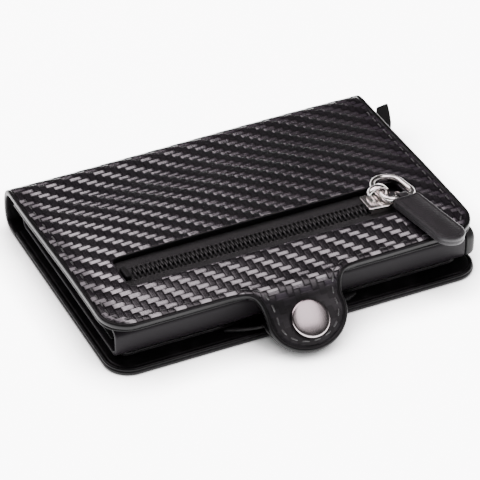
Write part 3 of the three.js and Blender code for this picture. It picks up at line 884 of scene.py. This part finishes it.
def build_card_slots():
    """Two stacked slot sheets on the flap, with a folded edge and a stitch line each."""
    for node in ("card_slot_lower", "card_slot_upper"):
        (x0, y0, bottom), (x1, y1, top) = box_mm(node)
        loop = rounded_loop(x0, y0, x1, y1, 3.0)
        sheet = bevelled("sheet", loop, bottom - 0.02, top + 0.02, 0.16, SLOT_LEATHER)
        loop = rounded_loop(x0 + 0.6, y1 - 2.0, x1 - 0.6, y1 - 0.3, 0.7)
        hem = bevelled("hem", loop, top - 0.10, top + 0.11, 0.08, HEM_LEATHER)
        assign(join(node + "_sheet", [sheet, hem]), "plain_leather", "flap", node)
        left, right = x0 + 1.5, x1 - 1.5
        line = np.array([(left, y1 - 2.0), (left, y0 + 1.5), (right, y0 + 1.5), (right, y1 - 2.0)])
        seam = stitches(node + "_stitching", resample(line, 200), level(top), radius=0.18, lift=-0.12)
        assign(seam, "plain_leather", "flap")


def build_strap_lining():
    """The strap's inner layer, following the strap's curve."""
    shape = cover_outline()
    part = shape[shape[:, 1] < FRONT - 1.2]
    loop = resample(drop_repeats(part + inward(part) * 0.25), 120)
    low, high = 2.15, 1.52
    profile = ((0.5, low), (0.12, 2.1), (0.0, 1.9), (0.0, 1.68), (0.12, 1.55), (0.5, high))
    rings = [on_cover(*(loop + inward(loop) * inset).T, depth) for inset, depth in profile]
    points, triangles = fill(loop + inward(loop) * 0.5, [], 1.4)
    n = len(loop)
    extra = points[n:]
    faces = strip_faces(len(rings), n)
    start = len(rings) * n
    middle, end = start + len(extra), start + 2 * len(extra)
    for index in ([*range(n), *range(start, middle)], [*range(start - n, start), *range(middle, end)]):
        faces += [tuple(index[k] for k in t) for t in triangles]
    verts = np.vstack([*rings, on_cover(*extra.T, low), on_cover(*extra.T, high)])
    obj = fix_normals(make_mesh("strap_inner", verts, faces, PAINT))
    assign(obj, "lining_fabric", ("upper", "strap"), "strap_lining", **STRAP_BEND)


def build_tongue():
    """The lower tongue: flared root on the flap, arched up to meet the strap."""
    line = smooth_curve([(-31.9, 2.75), (-33.6, 2.95), (-34.9, 3.5), (-36.1, 4.55), (-37.3, 5.0),
                         (-38.5, 4.6), (-40.0, 3.45), (-43.2, 1.2)], 40)
    run = lengths(line)
    thick, half_width, round_end, flare = 0.95, 9.9, 6.5, 8.5
    rings = []
    for (y, z), (ty, tz), s in zip(line, directions(line), run):
        past = max(round_end - (run[-1] - s), 0.0)
        half = half_width
        if past > 0:
            half = half_width * math.sqrt(max(1 - (past / round_end) ** 2, 0.0)) + 0.15
        half += flare * (1 - step(0, 5.0, s)) ** 1.6
        side = [(-half + 0.3, 1.0), (-half, 0.7), (-half, 0.3)]
        side += [(x, 0.0) for x in np.linspace(-half + 0.3, half - 0.3, 9)[:-1]]
        across = side + [(-x, 1 - d) for x, d in side]
        rings.append([(STRAP_X + x, y - tz * d * thick, z + ty * d * thick) for x, d in across])
    assign(loft("tongue", rings, TONGUE_LEATHER), "plain_leather", "flap", "flap_tongue")


# ---- case ----
CASE_WALL = 1.15
CASE_BOW = 0.35
CASE_SIDE = 0.18


def case_ring(x, inset, corner):
    """The case's closed section at x, with bowed sides, inset from its outer face."""
    y0, y1 = CASE_LOW[1] + CASE_SIDE + inset, CASE_HIGH[1] - CASE_SIDE - inset
    z0, z1 = CASE_LOW[2] + inset, CASE_HIGH[2] - inset
    r = max(corner - inset, 0.3)
    centre, middle, half = (y0 + y1) / 2, (z0 + z1) / 2, (z1 - z0) / 2

    def bow(z):
        return CASE_BOW * np.clip(1 - ((z - middle) / half) ** 2, 0, 1)

    loop = rounded_loop(y0, z0, y1, z1, r, 8)
    off = loop[:, 0] - centre
    loop[:, 0] += np.sign(off) * bow(loop[:, 1]) * (np.abs(off) > (y1 - y0) / 2 - r)
    section = []
    for a, b in zip(loop, np.roll(loop, -1, 0)):
        section.append(a)
        if np.linalg.norm(b - a) > 2.0:
            upright = abs(b[1] - a[1]) > abs(b[0] - a[0])
            for t in np.linspace(0, 1, 7)[1:-1]:
                y, z = a * (1 - t) + b * t
                if upright:
                    y = y0 - bow(z) if y < centre else y1 + bow(z)
                section.append((y, z))
    return [(x, y, z) for y, z in section]


def build_case():
    """The aluminium tube, open at both ends, with rounded rims."""
    x0, x1 = CASE_LOW[0], CASE_HIGH[0]
    stations = [(x0 + 0.10, CASE_WALL - 0.18), (x0, CASE_WALL - 0.32), (x0, 0.34), (x0 + 0.10, 0.12)]
    stations += [(x, 0.0) for x in np.linspace(x0 + 0.34, x1 - 0.34, 14)]
    stations += [(x1 - 0.1, 0.12), (x1, 0.34), (x1, CASE_WALL - 0.3), (x1 - 0.2, CASE_WALL)]
    stations += [(x, CASE_WALL) for x in np.linspace(x1 - 0.3, x0 + 0.4, 8)]
    case = loft("case_shell", [case_ring(x, inset, 2.2) for x, inset in stations], ALUMINIUM, cyclic=True)
    assign(case, "anodised_aluminium", "upper", "card_case")


def build_end_cap():
    """The moulded cap: a domed plate with the lever's slot, and the two ears that hold the lever's pin."""
    x0, x1 = CAP_END - 1.9, CAP_END + 0.9
    stations = [(x0 - 0.2, 1.3), (x0, 0.25), (x0 + 0.12, 0.05), (x0 + 0.3, 0.0), (x1 - 1.3, 0.0),
                (x1 - 0.8, 0.14), (x1 - 0.35, 0.5), (x1 - 0.1, 1.1), (x1, 2.2)]
    plate = loft("end_cap_shell", [case_ring(x, inset, 2.3) for x, inset in stations], PLASTIC)
    slot = [(x0 - 3, 16.0), (x1 + 2, 16.0), (x1 + 2, 27.4), (x0 - 3, 27.4)]
    cut(plate, bevelled("slot_cutter", slot, 4.7, 9.1, 0.4, PLASTIC))
    assign(sharpen(plate, 0.5), "black_plastic", "upper", "end_cap")
    for tag, z in (("lower", CASE_LOW[2] + 1.2), ("upper", CASE_HIGH[2] - 1.9)):
        loop = rounded_loop(41.8, 17.8, 47.6, 25.8, 1.5)
        assign(bevelled("pin_ear_" + tag, loop, z, z + 0.7, 0.12, PLASTIC), "black_plastic", "upper")


def cut(obj, cutter):
    """Cuts one mesh out of another and removes the cutter."""
    modifier = obj.modifiers.new("cut", "BOOLEAN")
    modifier.object = cutter
    modifier.operation = "DIFFERENCE"
    modifier.solver = "EXACT"
    bpy.context.view_layer.update()
    done = bpy.data.meshes.new_from_object(obj.evaluated_get(bpy.context.evaluated_depsgraph_get()))
    obj.modifiers.clear()
    obj.data = done
    bpy.data.objects.remove(cutter)


def build_lever():
    """Thumb tab with grip grooves, and the stepped arm inside."""
    (px, py, _), _ = joint("card_eject")
    (_, tip, bottom), (_, _, top) = box_mm("eject_lever")
    tab = np.vstack([
        smooth_curve([(50.4, 22.3), (52.9, 21.2), (54.9, 21.5), (57.2, 25.6), (58.8, 29.4),
                      (59.7, 31.8)], 24),
        [(59.6, 32.1), (59.3, 32.2)],
        smooth_curve([(56.4, 31.7), (56.0, 31.5), (54.2, 28.6), (50.8, 26.7)], 14),
    ])
    outline = np.vstack([[(px, py - 2.2)], tab, [(px, py + 2.4)], arc(px, py, 2.6, 95, 265, 10)[1:-1]])
    arm_half, thick = 1.2, (top - bottom) / 3
    arm = [(px - arm_half, py), (px - arm_half, tip), (px + arm_half, tip), (px + arm_half, py)]
    pieces = [bevelled("lever_tab", outline, bottom, top, 0.45, PLASTIC),
              bevelled("arm", arm, bottom, top, 0.2, PLASTIC)]
    for k, reach in enumerate((1.6, 3.2)):
        length = 14 - 5 * k
        end = px - 1 - reach
        nose = [(px, tip + 0.1), (px, tip + length + 3), (end, tip + length), (end, tip + 0.1)]
        pieces.append(bevelled("nose", nose, bottom + thick * (k + 1), top - 0.02, 0.15, PLASTIC))
    for k in range(4):
        x, y = 56.6 + 0.62 * k, 24.9 + 1.45 * k
        rib = [(x - 0.5, y - 0.22), (x + 0.42, y - 0.22), (x + 0.42, y + 0.22), (x - 0.5, y + 0.22)]
        pieces.append(bevelled("rib", rib, bottom + 0.5, top - 0.5, 0.12, PLASTIC, 2))
    assign(join("eject_lever_body", pieces), "black_plastic", "lever", "eject_lever")


# ---- zip ----
def build_tapes():
    """Two tapes that rise a little towards the coil between them."""
    front_low, front_high = box_mm("zip_tape_front")
    back_low, back_high = box_mm("zip_tape_back")
    centre = (front_high[1] + back_low[1]) / 2
    t = np.linspace(0, 1, 12)
    for name, edge in (("tape_front", front_low[1]), ("tape_back", back_high[1])):
        rings = []
        for x in np.linspace(front_low[0], front_high[0], 90):
            wave = 0.05 * math.sin(x * 0.35) + 0.03 * math.sin(x * 0.83 + 1)
            z = front_high[2] + 0.15 + 0.25 * step(0.15, 0.65, t) + wave * (1 - t) * t * 2
            upper = np.stack([np.full(len(t), x), edge + (centre - edge) * t, z], 1)
            rings.append(np.vstack([upper, upper[::-1] - (0, 0, 0.3)]))
        assign(loft(name, rings, TAPE), "zip_tape", "upper", "zip_" + name)


def build_coil():
    """Interlocking nylon turns: each is a bent loop that rises over the tape's edge."""
    low, high = box_mm("zip_coil_front")
    centre = (high[1] + box_mm("zip_coil_back")[0][1]) / 2
    pitch, sides = 1.2, 7
    bend = [(0, 2.1, -0.05), (0.02, 2.0, 0.55), (0.06, 1.2, 1.02), (0.10, 0.2, 0.98), (0.12, -0.42, 0.86),
            (0.12, -0.62, 0.55)]
    radius = (0.26, 0.29, 0.31, 0.30, 0.33, 0.22)
    on_tape = level(box_mm("zip_tape_front")[1][2] + 0.42)
    for name, side, shift in (("coil_front", -1, 0.0), ("coil_back", 1, pitch / 2)):
        verts, faces = [], []
        for k in range(int((high[0] - low[0] - 1.0) / pitch)):
            path = np.array(bend) * (1, side, 1) + (low[0] + 0.8 + shift + k * pitch, centre, low[2])
            ahead = directions(path)
            across = unit((1.0, 0, 0) - ahead * ahead[:, :1])
            add_tube(verts, faces, path, radius, across, np.cross(across, ahead), sides)
        coil = fix_normals(make_mesh(name, verts, faces, NYLON))
        assign(coil, "zip_coil", "upper", "zip_" + name)
        y = centre + side * 2.55
        line = resample(np.array([(low[0] - 0.5, y), (high[0] + 0.5, y)]), 200)
        seam = stitches(name + "_stitching", line, on_tape, length=1.5, gap=0.35, radius=0.15)
        assign(seam, "zip_tape", "upper")


def build_zip_stops():
    """The plastic stop at the closed end and the two metal ones at the open end."""
    plastic, metal_clip = (PLASTIC, "black_plastic"), (NICKEL, "nickel")
    for node, (finish, slot) in (("zip_bottom_stop", plastic), ("zip_top_stop_front", metal_clip),
                                 ("zip_top_stop_back", metal_clip)):
        low, high = box_mm(node)
        loop = rounded_loop(low[0], low[1], high[0], high[1], 0.35, 4)
        stop = bevelled(node + "_clip", loop, low[2] + 0.2, high[2] + 0.35, 0.3, finish)
        assign(stop, slot, "upper", node)


def build_slider():
    """The slider's waisted plate with its two flanges, and the bridge over the ring."""
    low, high = box_mm("zip_slider")
    tape_top = box_mm("zip_tape_front")[1][2]
    back, nose, y = low[0], high[0], (low[1] + high[1]) / 2
    hinge, _ = joint("ring_swing")
    plate_top = tape_top + 2.55
    half = np.array([(back, -2.9), (back + 0.9, -3.0), (nose - 2.4, -3.5), (nose - 0.7, -3.3), (nose, -2.2),
                     (nose - 0.5, -0.6), (nose - 1.6, 0)])
    outline = np.vstack([half, half[-2::-1] * (1, -1), half[:1]]) + (0, y)
    plate = bevelled("plate", resample(outline, 61)[:-1], plate_top - 0.85, plate_top, 0.30, NICKEL)
    flanges = []
    for s in (1, -1):
        strip = [(back + 0.5, y + s * 2.55), (nose - 1.0, y + s * 2.95), (nose - 1.0, y + s * 3.45),
                 (back + 0.5, y + s * 3.0)][::s]
        flanges.append(bevelled("flange", strip, tape_top + 0.6, plate_top - 0.4, 0.15, NICKEL))
    # The bridge is a flat strip bent into an arch over the ring.
    span, sunk = 3.1, 0.35
    rise = high[2] - plate_top + 0.25 + sunk
    arch = resample(np.array([(hinge[0] + span * math.cos(t), plate_top - sunk + rise * math.sin(t) ** 0.75)
                              for t in np.linspace(math.pi, 0, 25)]), 31)
    strip = ((-0.75, 0.0), (-0.95, -0.2), (-0.95, -0.5), (-0.75, -0.7), (0.75, -0.7), (0.95, -0.5),
             (0.95, -0.2), (0.75, 0.0))
    rings = [[(x - tz * b, hinge[1] + a, z + tx * b) for a, b in strip]
             for (x, z), (tx, tz) in zip(arch, directions(arch))]
    slider = join("zip_slider_body", [plate, *flanges, loft("bridge", rings, NICKEL)])
    assign(slider, "nickel", "slider", "zip_slider")


def ring_frame():
    """The tilted frame that the ring and the pull share, at the slider's bridge."""
    hinge, ring_axis = joint("ring_swing")
    x_axis, y_axis = Vector(-joint("pull_swing")[1]), Vector(-ring_axis)
    turn = Matrix((x_axis, y_axis, x_axis.cross(y_axis))).transposed().to_4x4()
    return Matrix.Translation(Vector(hinge)) @ turn


def build_ring_and_pull():
    """The D ring through the bridge, and the leather strip folded round its straight bar."""
    place = ring_frame()
    half, bar, top, corner = 4.2, -4.9, 0.8, 1.8
    line = np.vstack([
        arc(half - corner, bar + corner, corner, -90, 0, 9), arc(0, top, half, 0, 180, 33, half)[1:-1],
        arc(-half + corner, bar + corner, corner, 180, 270, 9),
    ])
    line = resample(np.vstack([line, line[:1]]), 97)[:-1]
    points = np.array([place @ Vector((x + half, y, 0)) for x, y in line])
    assign(wire_loop("d_ring", points, 0.8, 14, NICKEL), "nickel", "ring", "pull_ring")

    at_bar = place @ Matrix.Translation((half, bar, 0))
    length, w = 23.0, 4.0
    side = [(-w + 0.9, -1.15), (-w + 0.25, -1.4), (-w, -2.1)]
    end = arc(0, -length + w * 0.95, w, 180, 270, 16, w * 0.95)
    left = np.vstack([side, [(-w, -length + w)], end])
    outline = resample(drop_repeats(np.vstack([left, left[::-1] * (-1, 1)])), 160)
    normals = inward(outline)
    profile = [(1.0, -1.25), (0.45, -1.22), (0.12, -1.05), (0.0, -0.75), (0.0, -0.3), (0.1, -0.08),
               (0.1, 0.08), (0.0, 0.3), (0.0, 0.75), (0.12, 1.05), (0.45, 1.22), (0.8, 1.24), (1.0, 1.16),
               (1.25, 1.25)]
    rings = [[at_bar @ Vector((x, y, z)) for x, y in outline + normals * inset] for inset, z in profile]
    strip = loft("pull_strip", rings, PULL_LEATHER)
    # The strip folds round the ring's bar: the fold is a rolled sleeve.
    section = [(-1.3, 0.86), (-1.42, 1.02), (-1.3, 1.18), (0, 1.22), (1.3, 1.18), (1.42, 1.02), (1.3, 0.86)]
    rings = [[at_bar @ Vector((x, r * math.cos(t), r * math.sin(t))) for x, r in section]
             for t in np.radians(np.linspace(-152, 152, 25))]
    pull = join("pull_strip", [strip, loft("fold", rings, PULL_LEATHER)])
    assign(pull, "plain_leather", "pull", "pull_leather")


# ---- snap ----
def snap_place():
    """The snap's own frame: +Z out of the strap's face."""
    s = FRONT - SNAP_V
    (y0, z0), (y, z), (y1, z1) = ([np.interp(at, STRAP_RUN, values) for values in STRAP_CURVE.T]
                                  for at in (s - 1, s, s + 1))
    turn = Matrix.Rotation(math.atan2(z1 - z0, y1 - y0) + math.pi, 4, "X")
    return Matrix.Translation((STRAP_X, y, z)) @ turn


def build_snap():
    """The cap and socket on the strap, and the stud and its washer on the flap, all turned."""
    place = snap_place()
    dome = [(0, -0.9), (1.2, -0.9), (1.2, -0.05), (4.3, -0.05), (4.75, 0.05), (4.98, 0.28), (5.0, 0.52),
            (4.92, 0.78), (4.72, 1.0), (4.4, 1.14), (3.9, 1.25), (3.2, 1.36), (2.4, 1.45), (1.4, 1.52),
            (0.6, 1.55), (0, 1.56)]
    socket = [(0, -2.55), (1.8, -2.55), (1.9, -2.8), (1.9, -3.75), (2.2, -3.9), (3.2, -3.9), (3.7, -3.7),
              (4.1, -3.2), (4.3, -2.7), (4.3, -2.3), (4.1, -2.15), (0, -2.15)]
    stud = [(0, -5.5), (1.1, -5.5), (1.1, -4.4), (3.3, -4.38), (3.6, -4.3), (3.6, -4.15), (3.2, -4.05),
            (1.7, -4.0), (1.4, -3.85), (1.4, -3.6), (1.6, -3.4), (1.6, -3.2), (1.3, -3.0), (0, -2.92)]
    washer = [(0, -6.3), (1.4, -6.3), (1.75, -6.15), (1.8, -5.95), (1.6, -5.8), (0, -5.8)]
    for name, node, slot, body, steps, finish, profile in (
        # The dome takes the darkened nickel, a painted reflection.
        ("snap_dome", "snap_cap", "nickel", "strap", 64, SNAP_NICKEL_PAINTED_DARK, dome),
        ("snap_female", "snap_socket", "steel", "strap", 48, STEEL, socket),
        ("snap_male", "snap_stud", "steel", "flap", 40, STEEL, stud),
        ("stud_washer", "stud_rivet", "steel", "flap", 32, STEEL, washer),
    ):
        assign(sharpen(lathe(name, profile, steps, finish, place), 0.9), slot, body, node)


def finish_cad_nodes():
    """The CAD nodes that stay, hidden inside, get their materials and softened edges."""
    for node, material in (("adhesive_pad", FELT), ("card_grip_lower", FELT), ("card_grip_upper", FELT),
                           ("lever_pin", STEEL)):
        obj = frame["nodes"][node]
        obj.data.materials.clear()
        obj.data.materials.append(material)
        bevel = obj.modifiers.new("edge", "BEVEL")
        bevel.width = 0.00008
        bevel.segments = 2


# ---- stage ----
def build_stage():
    """A wide table top, just under the wallet."""
    half = 3.0
    corners = [(-half, -half, 0), (half, -half, 0), (half, half, 0), (-half, half, 0)]
    mesh = bpy.data.meshes.new("table")
    mesh.from_pydata(corners, [], [(0, 1, 2, 3)])
    table = add_object("table", mesh)
    table.location.z = -0.00002
    mesh.materials.append(table_top())


def area_light(name, at, size, power, tint=(1, 1, 1), spin=0.0):
    """A rectangular softbox that points straight down, turned by spin degrees."""
    data = bpy.data.lights.new(name, "AREA")
    data.shape = "RECTANGLE"
    data.size, data.size_y = size
    data.energy = power
    data.color = tint
    lamp = add_object(name, data)
    lamp.location = at
    lamp.rotation_euler.z = math.radians(spin)


def build_lights():
    """Three softboxes overhead: the first two light the cover's back left and its strip before the zip."""
    tint = (1.0, 0.89, 0.95)
    area_light("overhead_left", (-0.163, 0.205, 0.36), (0.50, 0.24), 2.35, tint, spin=-28.7)
    area_light("overhead_front", (0.125, -0.115, 0.36), (0.23, 0.37), 1.15, tint)
    area_light("front_high", (0.12, -0.36, 0.60), (0.9, 0.55), 1.1)
    world = bpy.data.worlds.new("studio")
    world.use_nodes = True
    tree = world.node_tree
    background = tree.nodes["Background"]
    where, parts, fade = (tree.nodes.new("ShaderNode" + kind)
                              for kind in ("TexCoord", "SeparateXYZ", "MapRange"))
    fade.interpolation_type = "SMOOTHSTEP"
    # The sky is bright at the horizon and dark above: from height 0.02 to 0.30 it falls from 1.6 to 0.07.
    for socket, value in enumerate((0.02, 0.30, 1.6, 0.07), 1):
        fade.inputs[socket].default_value = value
    tree.links.new(where.outputs["Generated"], parts.inputs[0])
    tree.links.new(parts.outputs[2], fade.inputs[0])
    tree.links.new(fade.outputs[0], background.inputs["Strength"])
    background.inputs["Color"].default_value = (1, 1, 1, 1)
    bpy.context.scene.world = world


# The view: a long lens from the front left, about 36 degrees up.
VIEW = {"azimuth": -26.12, "elevation": 36.34, "roll": 0.82, "distance": 0.6673, "lens": 194.8,
        "shift": (-0.00004, 0.00196)}


def build_camera():
    """The camera looks past the origin by a small shift, from VIEW's angles and distance."""
    azimuth, elevation, roll = (math.radians(VIEW[k]) for k in ("azimuth", "elevation", "roll"))
    data = bpy.data.cameras.new("camera")
    data.lens = VIEW["lens"]
    data.sensor_width = 36.0
    data.clip_start = 0.01
    camera = add_object("camera", data)
    turn = Matrix.Rotation(azimuth, 4, "Z") @ Matrix.Rotation(math.pi / 2 - elevation, 4, "X")
    turn = turn @ Matrix.Rotation(roll, 4, "Z")
    camera.matrix_world = turn @ Matrix.Translation((*VIEW["shift"], VIEW["distance"]))
    bpy.context.scene.camera = camera


build_camera()
build_stage()
build_lights()
build_top_cover()
build_pocket_back()
build_spine()
build_flap()
build_card_slots()
build_strap_lining()
build_tongue()
build_case()
build_end_cap()
build_lever()
build_tapes()
build_coil()
build_zip_stops()
build_slider()
build_ring_and_pull()
build_snap()
finish_cad_nodes()
